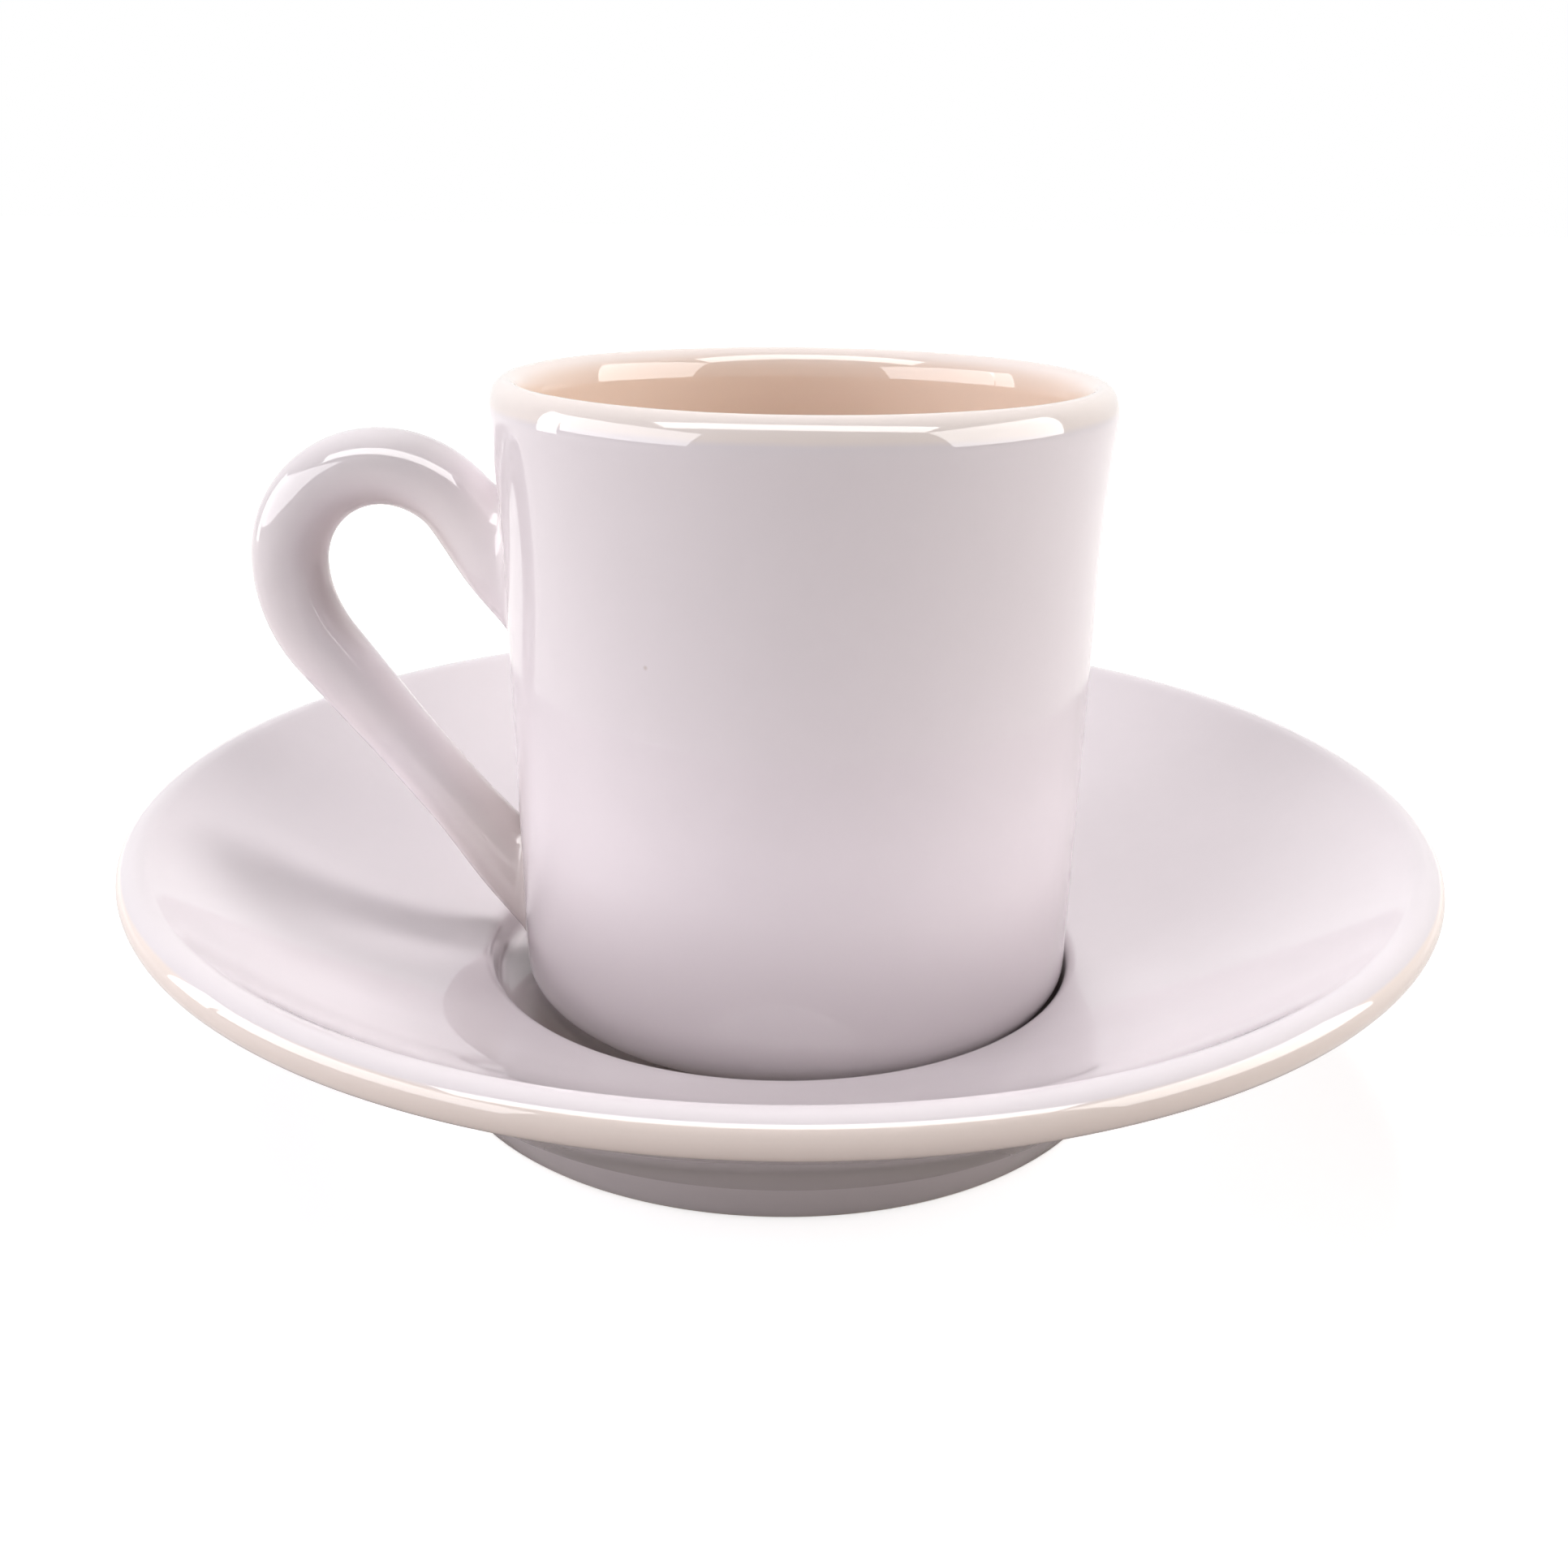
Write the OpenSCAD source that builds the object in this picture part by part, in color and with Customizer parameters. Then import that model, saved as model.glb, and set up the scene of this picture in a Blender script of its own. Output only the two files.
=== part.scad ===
// Espresso cup with a round loop handle, standing in the well of a deep round saucer.
// Millimetres, z up from the table, the saucer's axis at the origin, the handle towards -x.

/* [Saucer] */
// Outer diameter across the lip
saucer_diameter = 125; // [120:0.5:132]
// Height from the table to the top of the lip
saucer_height = 27; // [25:0.5:30]
// Thickness of the rounded lip
saucer_lip = 4.4; // [3.6:0.1:5]
// Outer diameter of the foot ring where it meets the table
foot_diameter = 68; // [62:0.5:70]
// Width of the foot ring's resting face
foot_width = 3.5; // [2.5:0.1:5]
// Height of the foot ring's outer wall
foot_height = 5.6; // [4:0.1:6.6]
// How far the foot ring's outer wall leans out over its height
foot_spread = 4.3; // [3:0.1:5]
// Radius of the bowl's rounded underside between the foot and the lip
bowl_radius = 130; // [90:1:180]
// Slope of the dish at the edge of the well, in degrees
dish_slope = 4.6; // [2:0.1:8]
// Height of the well's floor above the table
floor_height = 8; // [7.5:0.1:8.6]
// Thickness of the saucer under the well
floor_thickness = 4.5; // [3.5:0.1:6]
// How much wider the well's upper edge is than the cup's base
well_room = 7.7; // [6.4:0.1:9]
// Depth of the well
well_depth = 3.6; // [2.6:0.1:4.2]
// How far the well's wall leans in towards its floor
well_draft = 0.8; // [0.4:0.1:1.6]

/* [Cup] */
// Height from the resting face to the top of the rim
cup_height = 59.4; // [58:0.1:66]
// Outer diameter at the rim
rim_diameter = 57.2; // [56.8:0.1:60]
// How much narrower the waist is than the rim
waist_draw = 1.4; // [1:0.1:2]
// Depth of the waist below the top of the rim
waist_drop = 20.4; // [17:0.1:24]
// How much narrower the cup is above its rounded base than at its waist
base_draw = 1.1; // [0.4:0.1:2.4]
// Radius of the base's rounded corner
base_rounding = 3; // [2:0.1:4]
// Thickness of the wall at the rim
wall_thickness = 3.4; // [2.8:0.1:4]
// Thickness of the cup's floor
cup_floor = 4.5; // [3.5:0.1:7]
// Thickness of the wall just above the hollow's rounded corner
base_wall = 3.25; // [2.8:0.05:4.3]
// Radius of the hollow's rounded corner
hollow_rounding = 7; // [4:0.5:10]
// Width of the flat ring that the cup rests on
ring_width = 4.85; // [2.5:0.05:8]
// Depth of the recess under the cup
recess_depth = 1.4; // [0.8:0.1:2]
// Gap between the cup's side and the edge of the well, on the side away from the handle
near_gap = 2.25; // [2.05:0.05:3.2]

/* [Handle] */
// Thickness of the round handle over its loop
rod_diameter = 7.4; // [6.4:0.1:8]
// Distance from the wall to the loop's outermost point
handle_reach = 25.6; // [24.6:0.1:26]
// Depth of the loop's top below the top of the rim
handle_drop = 5.5; // [4.5:0.1:6.5]
// Bend radius of the loop's upper part, at the middle of the rod
upper_bend = 9.7; // [9:0.1:10.4]
// Bend radius from the loop into the leg, at the middle of the rod
lower_bend = 13.3; // [12.4:0.1:14.4]
// Slope of the upper root as it meets the wall, in degrees
upper_slope = 50; // [44:1:54]
// Height above the resting face at which the middle of the straight leg meets the wall
lower_root_height = 8.7; // [8:0.1:11]
// Thickness of the leg where its root begins
leg_diameter = 6.6; // [6:0.1:7.4]
// Thickness of the upper root where it enters the wall
upper_root = 10.4; // [9:0.1:11]
// Thickness of the lower root where it enters the wall
lower_root = 8.4; // [7.6:0.1:9]
// Length of the lower root outside the wall
lower_root_length = 10; // [7:0.5:14]

/* [Hidden] */

$fn = 180;
overrun = 2;
root_sink = 0.4;
bead = 0.04;
waist_turn = 0.3;
frame_share = 2;
frame_sides = 3;
glaze_white = [0.91, 0.87, 0.89];
handle_white = [0.88, 0.84, 0.85];

waist_diameter = rim_diameter - waist_draw;
base_diameter = waist_diameter - base_draw;

saucer_radius = saucer_diameter / 2;
foot_radius = foot_diameter / 2;
foot_inner = foot_radius - foot_width;
under_floor = floor_height - floor_thickness;
well_diameter = base_diameter + well_room;
lip_radius = saucer_lip / 2;
lip_centre = [saucer_radius - lip_radius, saucer_height - lip_radius];
foot_lean = [foot_spread, foot_height];
foot_corner = [foot_radius, 0] + foot_lean;
foot_inside = foot_corner + overrun * foot_lean / foot_height;
well_lean = [well_draft, well_depth];
well_foot = [well_diameter / 2 - well_draft, floor_height];
well_edge = well_foot + well_lean;
well_top = well_foot + well_lean * saucer_height / well_depth;
dish_side = toward(90 + dish_slope);
dish_radius = touching_radius(well_edge, dish_side, lip_centre, lip_radius - bead);
dish_centre = well_edge + dish_radius * dish_side;
bowl_centre = meeting(foot_corner, bowl_radius, lip_centre, bowl_radius - lip_radius + bead);
lip_out = toward(bearing(bowl_centre, lip_centre));
lip_in = toward(bearing(lip_centre, dish_centre));

base_side = [base_diameter / 2, base_rounding];
base_centre = base_side - [base_rounding, 0];
recess_radius = base_centre.x - ring_width;
waist = [waist_diameter / 2, cup_height - waist_drop];
waist_inside = waist + overrun * (waist - base_side) / waist.y;
rim_radius = wall_thickness / 2;
rim_centre = [rim_diameter / 2 - rim_radius, cup_height - rim_radius];
flare_side = toward(bearing(base_side, waist) - waist_turn - 90);
flare_radius = touching_radius(waist, flare_side, rim_centre, rim_radius - bead);
flare_centre = waist + flare_radius * flare_side;
rim_out = toward(bearing(rim_centre, flare_centre));
hollow_side = [base_diameter / 2 - base_wall, cup_floor + hollow_rounding];
hollow_centre = hollow_side - [hollow_rounding, 0];
cup_offset = well_room / 2 - near_gap;

rod_radius = rod_diameter / 2;
loop_reach = waist.x + handle_reach - rod_radius;
loop_top = cup_height - handle_drop - rod_radius;
bend_centre = [loop_reach - upper_bend, loop_top - upper_bend];
lower_centre = [loop_reach - lower_bend, bend_centre.y];
leg_foot = [waist.x, lower_root_height];
leg_slope = bearing(leg_foot, lower_centre) - asin(lower_bend / norm(lower_centre - leg_foot));
upper_start = bend_centre + upper_bend * toward(90 + upper_slope);
leg_start = lower_centre + lower_bend * toward(leg_slope - 90);
upper_length = (upper_start.x - waist.x) / cos(upper_slope);
upper_end = upper_length + upper_root / 2 * tan(upper_slope) + root_sink;
leg_run = (leg_start.x - waist.x) / cos(leg_slope);
leg_end = leg_run + lower_root / 2 * tan(leg_slope) + root_sink;

function toward(angle) = [cos(angle), sin(angle)];
function bearing(from, to) = atan2(to.y - from.y, to.x - from.x);
// Radius of the circle that starts at a point, has its centre on one side of it, and touches a round
function touching_radius(start, side, centre, radius) =
    let (apart = start - centre)
    (apart * apart - radius * radius) / (radius - apart * side) / 2;
// Point at two given distances from two others, to the left of the line between them
function meeting(first, first_distance, second, second_distance) =
    let (
        apart = norm(second - first),
        along = (first_distance ^ 2 - second_distance ^ 2 + apart ^ 2) / apart / 2,
        aside = sqrt(first_distance ^ 2 - along ^ 2),
        angle = bearing(first, second)
    )
    first + along * toward(angle) + aside * toward(angle + 90);

module disc(centre, radius) {
    translate(centre)
        circle(radius);
}

module pie(centre, radius, from, to) {
    intersection() {
        disc(centre, radius);
        polygon([
            centre,
            for (i = [0:frame_sides])
                centre + frame_share * radius * toward(from + (to - from) * i / frame_sides)
        ]);
    }
}

module saucer_section() {
    difference() {
        union() {
            polygon([
                [0, under_floor],
                [foot_inner, under_floor],
                [foot_inner, 0],
                [foot_radius, 0],
                foot_inside,
                [foot_inside.x, saucer_height],
                well_top,
                well_foot,
                [0, floor_height]
            ]);
            intersection() {
                disc(bowl_centre, bowl_radius);
                polygon([
                    [foot_radius, 0],
                    lip_centre + frame_share * lip_radius * lip_out,
                    lip_centre,
                    lip_centre + frame_share * lip_radius * lip_in,
                    [foot_radius, saucer_height]
                ]);
            }
        }
        disc(dish_centre, dish_radius);
    }
    disc(lip_centre, lip_radius);
}

module cup_outline() {
    polygon([
        [0, recess_depth],
        [recess_radius, recess_depth],
        [recess_radius, 0],
        [base_centre.x, 0],
        base_centre,
        base_side,
        waist_inside,
        [0, waist_inside.y]
    ]);
    pie(base_centre, base_rounding, -90, 0);
    difference() {
        polygon([
            [0, waist.y - overrun],
            [waist.x + overrun, waist.y - overrun],
            rim_centre + frame_share * rim_radius * rim_out,
            rim_centre,
            [0, rim_centre.y]
        ]);
        disc(flare_centre, flare_radius);
    }
}

module cup_hollow() {
    polygon([
        [0, cup_floor],
        [hollow_centre.x, cup_floor],
        hollow_centre,
        hollow_side,
        rim_centre - [rim_radius - bead, 0],
        [rim_centre.x - rim_radius, cup_height + overrun],
        [0, cup_height + overrun]
    ]);
    pie(hollow_centre, hollow_rounding, -90, 0);
}

module at(point, turn) {
    translate([point.x, 0, point.y])
        rotate([90, 0, 0])
            rotate([0, 0, turn])
                children();
}

module bend(centre, radius, from, to) {
    at(centre, from)
        rotate_extrude(angle = to - from)
            translate([radius, 0])
                circle(rod_radius);
}

// A straight stretch into the wall, swelling to its root
module inward(start, slope, widths, lengths) {
    at(start, 180 + slope)
        rotate([0, 90, 0])
            rotate_extrude()
                polygon([
                    [0, 0],
                    for (i = [0:len(widths) - 1]) [widths[i] / 2, lengths[i]],
                    [0, lengths[len(lengths) - 1]]
                ]);
}

module knuckle(point) {
    at(point, 0)
        sphere(rod_radius + bead);
}

module handle_rod() {
    bend(bend_centre, upper_bend, 0, 90 + upper_slope);
    bend(lower_centre, lower_bend, leg_slope - 90, 0);
    inward(
        upper_start,
        upper_slope,
        [rod_diameter, upper_root, upper_root],
        [0, upper_length, upper_end]
    );
    inward(
        leg_start,
        leg_slope,
        [rod_diameter, leg_diameter, lower_root, lower_root],
        [0, leg_run - lower_root_length, leg_run, leg_end]
    );
    knuckle(upper_start);
    knuckle(bend_centre + [upper_bend, 0]);
    knuckle(leg_start);
}

module on_saucer() {
    translate([cup_offset, 0, floor_height])
        children();
}

module saucer() {
    color(glaze_white)
        rotate_extrude()
            saucer_section();
}

module cup_body() {
    color(glaze_white)
        on_saucer()
            rotate_extrude() {
                difference() {
                    cup_outline();
                    cup_hollow();
                }
                disc(rim_centre, rim_radius);
            }
}

module cup_handle() {
    color(handle_white)
        on_saucer()
            difference() {
                mirror([1, 0, 0])
                    handle_rod();
                rotate_extrude()
                    cup_outline();
            }
}

saucer();
cup_body();
cup_handle();
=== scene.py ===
from math import acos, asin, atan2, cos, degrees, hypot, pi, radians, sin, sqrt, tan

import bpy
from mathutils import Matrix, Vector


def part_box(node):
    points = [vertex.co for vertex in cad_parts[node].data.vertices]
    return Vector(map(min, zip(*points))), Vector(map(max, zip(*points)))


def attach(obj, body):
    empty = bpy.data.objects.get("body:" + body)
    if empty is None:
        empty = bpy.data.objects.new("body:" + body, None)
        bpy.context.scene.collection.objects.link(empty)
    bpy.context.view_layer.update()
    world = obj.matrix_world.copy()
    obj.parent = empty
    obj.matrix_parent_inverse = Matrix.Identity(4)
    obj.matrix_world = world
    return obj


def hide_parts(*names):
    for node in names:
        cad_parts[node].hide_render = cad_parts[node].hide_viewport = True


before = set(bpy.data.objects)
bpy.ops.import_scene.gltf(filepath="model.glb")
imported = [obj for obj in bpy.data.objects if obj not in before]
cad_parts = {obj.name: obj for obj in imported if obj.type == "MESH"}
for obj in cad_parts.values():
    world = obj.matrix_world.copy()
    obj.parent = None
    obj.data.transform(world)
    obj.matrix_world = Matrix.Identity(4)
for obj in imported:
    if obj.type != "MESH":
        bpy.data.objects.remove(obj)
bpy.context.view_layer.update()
bpy.ops.object.select_all(action="DESELECT")

mm = 0.001
saucerLow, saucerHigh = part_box("saucer")
cupLow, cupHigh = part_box("cup_body")
cupX = (cupLow.x + cupHigh.x) / 2  # the cup stands a little off the saucer's axis
print("frame loaded")


# small geometry helpers, all on (distance from the axis, height) pairs, with angles in degrees

def toward(angle):
    return Vector((cos(radians(angle)), sin(radians(angle))))


def bearing(start, end):
    return degrees(atan2(end.y - start.y, end.x - start.x))


def arcPoints(centre, radius, start, end, steps, stretch=1):
    angles = [start + (end - start) * i / steps for i in range(steps + 1)]
    return [centre + radius * Vector((toward(a).x, toward(a).y * stretch)) for a in angles]


def linePoints(start, end, steps):
    return [start.lerp(end, i / steps) for i in range(1, steps)]


def roundedCorner(before, corner, after, radius, steps):
    # an arc of a few points in place of a corner
    inward, outward = (before - corner).normalized(), (after - corner).normalized()
    half = acos(max(-1, min(1, inward.dot(outward)))) / 2
    reach = radius / sin(half)
    centre = corner + (inward + outward).normalized() * reach
    start = bearing(centre, corner + inward * reach * cos(half))
    end = bearing(centre, corner + outward * reach * cos(half))
    turn = (end - start + 180) % 360 - 180
    return arcPoints(centre, radius, start, start + turn, steps)


def circleMeeting(first, firstReach, second, secondReach):
    # the point at two given distances from two others, to the left of the line between them
    apart = (second - first).length
    along = (firstReach ** 2 - secondReach ** 2 + apart ** 2) / apart / 2
    aside = sqrt(firstReach ** 2 - along ** 2)
    angle = bearing(first, second)
    return first + along * toward(angle) + aside * toward(angle + 90)


def touchingRadius(start, side, centre, radius):
    # the circle that leaves a point with its centre on one side and touches a round
    apart = start - centre
    return (apart.dot(apart) - radius ** 2) / (radius - apart.dot(side)) / 2


# turned pieces: one vertex is drawn along the profile, then spun round the axis

meshSet = {
    "weld": 0.004 * mm,
    "smoothAngle": 40,
}


def turnedPiece(name, profile, axisX, turns):
    bpy.ops.object.select_all(action="DESELECT")
    bpy.ops.mesh.primitive_plane_add(size=mm, location=(axisX + profile[0].x, 0, profile[0].y))
    piece = bpy.context.active_object
    piece.name = name
    piece.data.name = name
    bpy.ops.object.transform_apply(location=True, rotation=True, scale=True)
    bpy.ops.object.mode_set(mode="EDIT")
    bpy.ops.mesh.select_all(action="SELECT")
    bpy.ops.mesh.merge(type="CENTER")
    for here, there in zip(profile, profile[1:]):
        step = (there.x - here.x, 0, there.y - here.y)
        bpy.ops.mesh.extrude_region_move(TRANSFORM_OT_translate={"value": step})
    bpy.ops.mesh.select_all(action="SELECT")
    bpy.ops.mesh.spin(steps=turns, angle=2 * pi, center=(axisX, 0, 0), axis=(0, 0, 1))
    bpy.ops.mesh.select_all(action="SELECT")
    bpy.ops.mesh.remove_doubles(threshold=meshSet["weld"])
    bpy.ops.mesh.normals_make_consistent(inside=False)
    bpy.ops.object.mode_set(mode="OBJECT")
    bpy.ops.object.shade_smooth_by_angle(angle=radians(meshSet["smoothAngle"]))
    return piece


def unevenSurface(piece, size, depth):
    # a slow waviness, always inwards, so that a fired piece is never a perfect lathe shape
    waviness = bpy.data.textures.new(piece.name + "Waves", "CLOUDS")
    waviness.noise_scale = size
    waviness.noise_depth = 1
    waves = piece.modifiers.new("waves", "DISPLACE")
    waves.texture = waviness
    waves.texture_coords = "LOCAL"
    waves.strength = depth
    waves.mid_level = 1
    bpy.ops.object.select_all(action="DESELECT")
    piece.select_set(True)
    bpy.context.view_layer.objects.active = piece
    bpy.ops.object.modifier_apply(modifier=waves.name)


# saucer

saucerSet = {
    "radius": saucerHigh.x,
    "height": saucerHigh.z - 0.1 * mm,
    "lipRadius": 1.9 * mm,
    "footRadius": 34 * mm,
    "footWidth": 3.5 * mm,
    "footHeight": 5.6 * mm,
    "footSpread": 4.3 * mm,
    "footCorner": 0.6 * mm,
    "footFillet": 1.0 * mm,
    "underCurve": 130 * mm,  # radius of the hollow underside between foot and lip
    "dishSlope": 13.0,
    "floorHeight": cupLow.z,
    "underFloor": 3.5 * mm,
    "underFillet": 2.0 * mm,
    "wellRadius": 29.3 * mm,
    "wellDepth": 3.1 * mm,
    "wellDraft": 0.7 * mm,
    "wellLip": 1.6 * mm,
    "wellFillet": 1.2 * mm,
    "turns": 288,
    "waveSize": 26 * mm,
    "waveDepth": 0.10 * mm,
    # glaze: thin where it has run off the lip, with painted light there, and painted shade in the corner of
    # the well
    "runOff": 31,  # degrees below level of the middle of the run
    "runStart": 0.0,  # both in shares of the lip's radius
    "runEnd": 0.5,
    # painted shade in the corner of the well
    "wellShadeFloor": 0.3 * mm,
    "wellShadeRise": 2.6 * mm,
    "wellShadeStart": 22.5 * mm,
    "wellShadeSpread": 4.0 * mm,
    "wellShadePast": 1.0 * mm,
    "wellShadeAbove": 0.5 * mm,
    "wellShadeFadeX": -29 * mm,
    "wellShadeFullX": -20 * mm,
    "wellShadeLeast": 0.15,
    "bareStart": 0.25 * mm,
    "bareEnd": 0.5 * mm,
}


def saucerProfile(s):
    lip = Vector((s["radius"] - s["lipRadius"], s["height"] - s["lipRadius"]))
    footEdge = Vector((s["footRadius"], 0))
    footTop = footEdge + Vector((s["footSpread"], s["footHeight"]))
    footInner = Vector((s["footRadius"] - s["footWidth"], 0))
    underCorner = Vector((footInner.x, s["underFloor"]))
    wellEdge = Vector((s["wellRadius"], s["floorHeight"] + s["wellDepth"]))
    wellFoot = Vector((s["wellRadius"] - s["wellDraft"], s["floorHeight"]))
    floorMiddle = Vector((0, s["floorHeight"]))
    underMiddle = Vector((0, s["underFloor"]))
    dishSide = toward(90 + s["dishSlope"])
    dishRadius = touchingRadius(wellEdge, dishSide, lip, s["lipRadius"])
    dishCentre = wellEdge + dishRadius * dishSide
    underCentre = circleMeeting(lip, s["underCurve"] + s["lipRadius"], footTop, s["underCurve"])
    underStart, underEnd = bearing(underCentre, footTop), bearing(underCentre, lip)
    dishStart, dishEnd = bearing(dishCentre, wellEdge), bearing(dishCentre, lip)
    lipOut, lipIn = bearing(lip, underCentre), bearing(lip, dishCentre)
    underside = arcPoints(underCentre, s["underCurve"], underStart, underEnd, steps=26)
    dish = arcPoints(dishCentre, dishRadius, dishEnd, dishStart, steps=34)
    points = [underMiddle, *linePoints(underMiddle, underCorner, steps=6)]
    points += roundedCorner(underMiddle, underCorner, footInner, s["underFillet"], steps=6)
    points += roundedCorner(underCorner, footInner, footEdge, s["footCorner"], steps=4)
    points += roundedCorner(footInner, footEdge, footTop, s["footCorner"], steps=4)
    points += roundedCorner(footEdge, footTop, underside[3], s["footFillet"], steps=5)
    points += underside[2:-1]
    points += arcPoints(lip, s["lipRadius"], lipOut, lipIn, steps=22)
    points += dish[1:-2]
    points += roundedCorner(dish[-3], wellEdge, wellFoot, s["wellLip"], steps=9)
    points += roundedCorner(wellEdge, wellFoot, floorMiddle, s["wellFillet"], steps=6)
    points += linePoints(wellFoot - Vector((s["wellFillet"], 0)), floorMiddle, steps=10)
    return points + [floorMiddle]


saucerShell = turnedPiece("saucerShell", saucerProfile(saucerSet), 0, saucerSet["turns"])
unevenSurface(saucerShell, saucerSet["waveSize"], saucerSet["waveDepth"])
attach(saucerShell, "saucer")
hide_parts("saucer")
print("saucer modelled")


# cup

cupSet = {
    "base": cupLow.z,
    "rim": cupHigh.z,
    "rimRadius": (cupHigh.x - cupLow.x) / 2 + 0.2 * mm,
    "lipRadius": 1.7 * mm,
    "lipDrop": 3.0 * mm,  # the lip is taller than it is thick, outside and inside
    "lipInnerDrop": 3.4 * mm,
    "waistRadius": 27.9 * mm,
    "waistDrop": 20.4 * mm,
    "baseRadius": 27.35 * mm,
    "baseRounding": 3 * mm,
    "cornerTrim": 6,  # degrees left off either end of the base's rounding
    "hollowRadius": 24.1 * mm,
    "hollowRounding": 7 * mm,
    "floorThickness": 4.5 * mm,
    "ringWidth": 4.85 * mm,
    "ringCorner": 0.5 * mm,
    "recessDepth": 1.4 * mm,
    "recessFillet": 1.0 * mm,
    "turns": 224,
    "waveSize": 18 * mm,
    "waveDepth": 0.08 * mm,
    # glaze: thin over the lip, painted shade that makes the wall grey low down, pink inside
    "thinStart": 3.0 * mm,
    "thinEnd": 1.2 * mm,
    # painted shade: the wall grows greyer towards the base, eased off just above it
    "baseShadeEnd": 3 * mm,
    "baseShadeStart": 24 * mm,
    "footFade": 3.5 * mm,
    "footShare": 0.45,
    "insideStart": 0.05 * mm,
    "insideEnd": 0.9 * mm,
    "insideAbove": 2.5 * mm,
    "bareStart": 0.2 * mm,
    "bareEnd": 0.45 * mm,
}


def cupWall(s):
    # the wall's outside, from the rounded base up to the lip
    baseSide = Vector((s["baseRadius"], s["base"] + s["baseRounding"]))
    waist = Vector((s["waistRadius"], s["rim"] - s["waistDrop"]))
    lip = Vector((s["rimRadius"] - s["lipRadius"], s["rim"] - s["lipDrop"]))
    flareSide = toward(bearing(baseSide, waist) - 90)
    flareRadius = touchingRadius(waist, flareSide, lip, s["lipRadius"])
    flareCentre = waist + flareRadius * flareSide
    flareStart, flareEnd = bearing(flareCentre, waist), bearing(flareCentre, lip)
    flareStart += 360 * (flareStart < 0)
    flareEnd += 360 * (flareEnd < 0)
    straight = [baseSide, *linePoints(baseSide, waist, steps=24)]
    return straight + arcPoints(flareCentre, flareRadius, flareStart, flareEnd, steps=12), lip


def cupProfile(s):
    wall, lip = cupWall(s)
    baseCentre = wall[0] - Vector((s["baseRounding"], 0))
    ringInner = Vector((baseCentre.x - s["ringWidth"], s["base"]))
    ringOuter = Vector((baseCentre.x, s["base"]))
    recessCorner = ringInner + Vector((0, s["recessDepth"]))
    recessMiddle = Vector((0, recessCorner.y))
    floorMiddle = Vector((0, s["base"] + s["floorThickness"]))
    hollowCentre = Vector((s["hollowRadius"] - s["hollowRounding"], floorMiddle.y + s["hollowRounding"]))
    hollowSide = hollowCentre + Vector((s["hollowRounding"], 0))
    lipBack = Vector((lip.x, s["rim"] - s["lipInnerDrop"]))
    lipInner = lipBack - Vector((s["lipRadius"], 0))
    lipStart = bearing(lip, wall[-1])
    outerStretch, innerStretch = s["lipDrop"] / s["lipRadius"], s["lipInnerDrop"] / s["lipRadius"]
    trim = s["cornerTrim"]
    points = [recessMiddle, *linePoints(recessMiddle, recessCorner, steps=5)]
    points += roundedCorner(recessMiddle, recessCorner, ringInner, s["recessFillet"], steps=5)
    points += roundedCorner(recessCorner, ringInner, ringOuter, s["ringCorner"], steps=4)
    points += [ringOuter]
    points += arcPoints(baseCentre, s["baseRounding"], trim - 90, -trim, steps=10)
    points += wall[:-1]
    points += arcPoints(lip, s["lipRadius"], lipStart, 90, 14, outerStretch)[:-1]
    points += arcPoints(lipBack, s["lipRadius"], 90, 180, 14, innerStretch)
    points += linePoints(lipInner, hollowSide, steps=26)
    points += arcPoints(hollowCentre, s["hollowRounding"], 0, -90, steps=14)
    points += linePoints(Vector((hollowCentre.x, floorMiddle.y)), floorMiddle, steps=8)
    return points + [floorMiddle]


cupShell = turnedPiece("cupShell", cupProfile(cupSet), cupX, cupSet["turns"])
unevenSurface(cupShell, cupSet["waveSize"], cupSet["waveDepth"])
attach(cupShell, "cup")
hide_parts("cup_body")
print("cup modelled")


# handle: a ring is drawn along the leg, round both bends and back into the wall

handleSet = {
    "reach": 25.6 * mm,
    "top": cupSet["rim"] - 5.5 * mm,
    "rodRadius": 3.7 * mm,
    "legRadius": 3.3 * mm,
    "upperRootRadius": 4.6 * mm,
    "lowerRootRadius": 3.9 * mm,
    "upperBend": 9.7 * mm,
    "lowerBend": 13.3 * mm,
    "upperSlope": 50,
    "lowerRootHeight": cupSet["base"] + 8.7 * mm,
    "slimEnd": 0.22,  # both in shares of the rod's length
    "fullStart": 0.5,
    "lowerSwell": 11 * mm,
    "upperSwell": 9 * mm,
    "ringSpacing": 0.8 * mm,
    "ringPoints": 48,
    "lowerSeatReach": 4.0 * mm,
    "upperSeatReach": 6.4 * mm,
    "seatRings": 12,
    "seatDepth": 0.25 * mm,
    "seatEase": 1.6,
    "seatSearch": 40 * mm,
    "seatHalvings": 30,
    "luting": 1.0 * mm,
    "sameSpot": 0.0001 * mm,
    "waveSize": 12 * mm,
    "waveDepth": 0.12 * mm,
    # glaze: half thin all over, with painted shade inside the bend and on the leg by the cup
    "thinness": 0.35,
    "bendShade": 0.55,
    "bendMargin": 0.2 * mm,
    "legShade": 0.65,
    "legShadeNear": 29 * mm,
    "legShadeFar": 42 * mm,
    "legShadeLow": 24 * mm,
    "legShadeHigh": 38 * mm,
}


def wallRadius(height):
    wall, _ = cupWall(cupSet)
    for low, high in zip(wall, wall[1:]):
        if low.y <= height <= high.y:
            return low.x + (high.x - low.x) * (height - low.y) / (high.y - low.y)
    return wall[0].x if height < wall[0].y else wall[-1].x


def loopReach(s):
    return cupSet["waistRadius"] + s["reach"] - s["rodRadius"]


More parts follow.
